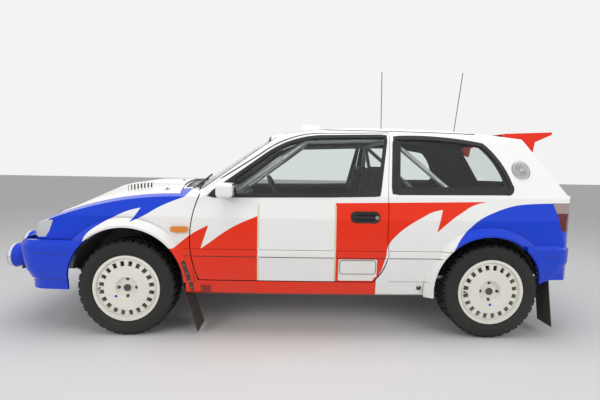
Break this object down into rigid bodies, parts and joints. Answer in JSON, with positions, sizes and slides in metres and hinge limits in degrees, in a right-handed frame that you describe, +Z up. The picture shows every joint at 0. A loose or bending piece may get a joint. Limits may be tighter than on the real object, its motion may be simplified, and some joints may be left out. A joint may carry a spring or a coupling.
{
  "type": "rally car, compact three-door hatchback",
  "caption": "Compact three-door rally hatchback with roll cage, driving lamps, roof vent, tailgate wing, opening doors, bonnet and tailgate, and steered wheels.",
  "frame": {"origin": "on the road, below the middle of the overall length and width", "axes": "+X from the nose to the tail, +Y to the car's right, +Z up"},
  "size_m": [3.96, 1.894, 1.9503],
  "materials": {
    "white_paint": "gloss",
    "blue_paint": "gloss",
    "red_paint": "gloss",
    "wheel_paint": "satin",
    "glass": "clear",
    "lamp_glass": "ribbed",
    "red_lens": "gloss",
    "orange_lens": "gloss",
    "chrome_bowl": "polished",
    "dark_plastic": "grained",
    "rubber": "worn",
    "tyre": "dusty",
    "iron": "rough",
    "dark_steel": "satin",
    "steel": "worn",
    "alloy": "worn",
    "seat_fabric": "woven"
  },
  "bodies": {
    "body": {"antennas": "dark_plastic", "body_side_left": "white_paint", "body_side_right": "white_paint", "dashboard": "dark_plastic", "driving_lamps": "chrome_bowl", "engine_block": "iron", "exhaust": "steel", "floor_pan": "white_paint", "front_bumper": "blue_paint", "front_fenders": "white_paint", "front_lamps": "lamp_glass", "front_suspension": "dark_steel", "fuel_tank": "dark_plastic", "grille": "dark_plastic", "mud_flaps": "rubber", "nose_panel": "blue_paint", "quarter_glass": "glass", "radiator": "alloy", "rear_bumper": "blue_paint", "rear_suspension": "dark_steel", "roll_cage": "white_paint", "roof_panel": "white_paint", "roof_vent": "white_paint", "scuttle": "white_paint", "seats": "seat_fabric", "side_repeaters": "orange_lens", "skid_plate": "alloy", "steering_column": "dark_steel", "tail_lamps": "red_lens", "wheel_housings": "dark_steel", "windscreen": "glass", "wipers": "dark_plastic"},
    "door_left": {"door_left": "white_paint", "door_glass_left": "glass", "door_mirror_left": "white_paint", "door_handle_left": "dark_plastic"},
    "door_right": {"door_right": "white_paint", "door_glass_right": "glass", "door_mirror_right": "white_paint", "door_handle_right": "dark_plastic"},
    "bonnet": {"bonnet": "white_paint"},
    "tailgate": {"tailgate": "white_paint", "tailgate_glass": "glass", "rear_wing": "red_paint"},
    "knuckle_left": {"knuckle_left": "iron"},
    "knuckle_right": {"knuckle_right": "iron"},
    "steering_wheel": {"steering_wheel": "dark_plastic"},
    "wheel_front_left": {"tyre_front_left": "tyre", "rim_front_left": "wheel_paint"},
    "wheel_front_right": {"tyre_front_right": "tyre", "rim_front_right": "wheel_paint"},
    "wheel_rear_left": {"tyre_rear_left": "tyre", "rim_rear_left": "wheel_paint"},
    "wheel_rear_right": {"tyre_rear_right": "tyre", "rim_rear_right": "wheel_paint"}
  },
  "joints": [
    {"name": "door_left_hinge", "type": "hinge", "parent": "body", "child": "door_left", "pos_m": [-0.697, -0.846, 0.6], "axis": [0, 0, -1], "range_deg": [0, 65]},
    {"name": "door_right_hinge", "type": "hinge", "parent": "body", "child": "door_right", "pos_m": [-0.697, 0.846, 0.6], "axis": [0, 0, 1], "range_deg": [0, 65]},
    {"name": "bonnet_hinge", "type": "hinge", "parent": "body", "child": "bonnet", "pos_m": [-0.795, 0, 1.008], "axis": [0, 1, 0], "range_deg": [0, 50]},
    {"name": "tailgate_hinge", "type": "hinge", "parent": "body", "child": "tailgate", "pos_m": [1.45, 0, 1.412], "axis": [0, -1, 0], "range_deg": [0, 80]},
    {"name": "steer_left", "type": "hinge", "parent": "body", "child": "knuckle_left", "pos_m": [-1.125, -0.64, 0.32], "axis": [0, 0, 1], "range_deg": [-28, 28]},
    {"name": "steer_right", "type": "hinge", "parent": "body", "child": "knuckle_right", "pos_m": [-1.125, 0.64, 0.32], "axis": [0, 0, 1], "range_deg": [-28, 28]},
    {"name": "wheel_front_left_spin", "type": "hinge", "parent": "knuckle_left", "child": "wheel_front_left", "pos_m": [-1.125, -0.718, 0.32], "axis": [0, 1, 0], "continuous": true},
    {"name": "wheel_front_right_spin", "type": "hinge", "parent": "knuckle_right", "child": "wheel_front_right", "pos_m": [-1.125, 0.718, 0.32], "axis": [0, 1, 0], "continuous": true},
    {"name": "wheel_rear_left_spin", "type": "hinge", "parent": "body", "child": "wheel_rear_left", "pos_m": [1.305, -0.718, 0.32], "axis": [0, 1, 0], "continuous": true},
    {"name": "wheel_rear_right_spin", "type": "hinge", "parent": "body", "child": "wheel_rear_right", "pos_m": [1.305, 0.718, 0.32], "axis": [0, 1, 0], "continuous": true},
    {"name": "steering_wheel_turn", "type": "hinge", "parent": "body", "child": "steering_wheel", "pos_m": [-0.15, -0.35, 0.905], "axis": [0.9135, 0, 0.4067], "range_deg": [-340, 340]}
  ],
  "couplings": [
    {"joint": "steer_right", "follows": "steer_left", "ratio": 1},
    {"joint": "steering_wheel_turn", "follows": "steer_left", "ratio": 12}
  ]
}
